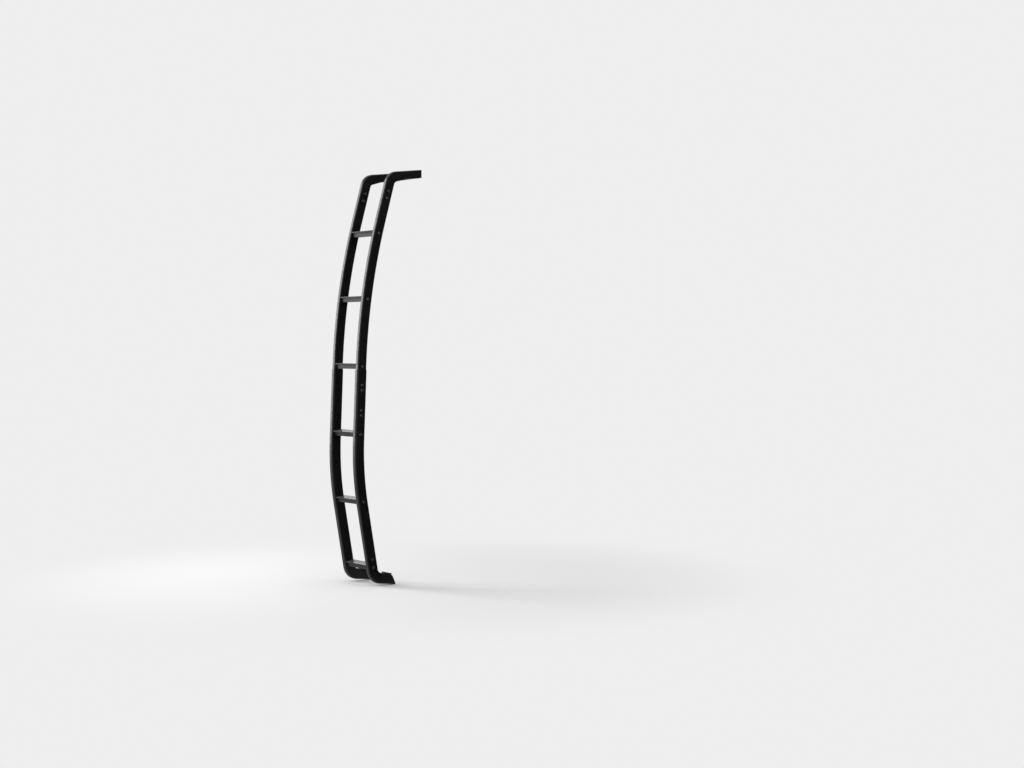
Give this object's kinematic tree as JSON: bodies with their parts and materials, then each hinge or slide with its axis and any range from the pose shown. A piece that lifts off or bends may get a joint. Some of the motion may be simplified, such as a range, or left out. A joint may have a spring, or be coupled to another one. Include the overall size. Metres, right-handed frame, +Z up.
{
  "type": "van rack ladder",
  "caption": "Bent two-stile side ladder that bolts to a roof rack's side rail by two arms and stands off a van's sill on two padded feet.",
  "frame": {"origin": "middle of the rail plate's flat inboard face, midway between the two arms", "axes": "+X to the van's rear, +Y inboard towards the van, +Z up"},
  "size_m": [0.2528, 0.4068, 2.087],
  "materials": {
    "powder_coat": "satin black powder coat",
    "tread_aluminium": "dark grey anodised",
    "bolt_steel": "blackened",
    "pad_rubber": "matt"
  },
  "bodies": {
    "root": {"stile_upper_front": "powder_coat", "stile_upper_rear": "powder_coat", "stile_lower_front": "powder_coat", "stile_lower_rear": "powder_coat", "top_bracket_front": "powder_coat", "top_bracket_rear": "powder_coat", "foot_bracket_front": "powder_coat", "foot_bracket_rear": "powder_coat", "rail_plate": "powder_coat", "foot_pad_front": "pad_rubber", "rung_bolts_front": "bolt_steel", "splice_bolts_front": "bolt_steel", "bracket_bolts_front": "bolt_steel", "bracket_nuts_front": "bolt_steel", "foot_bolt_front": "bolt_steel", "foot_pad_rear": "pad_rubber", "rung_bolts_rear": "bolt_steel", "splice_bolts_rear": "bolt_steel", "bracket_bolts_rear": "bolt_steel", "bracket_nuts_rear": "bolt_steel", "foot_bolt_rear": "bolt_steel", "rung_1": "tread_aluminium", "rung_2": "tread_aluminium", "rung_3": "tread_aluminium", "rung_4": "tread_aluminium", "rung_5": "tread_aluminium", "rung_6": "tread_aluminium"}
  },
  "joints": []
}
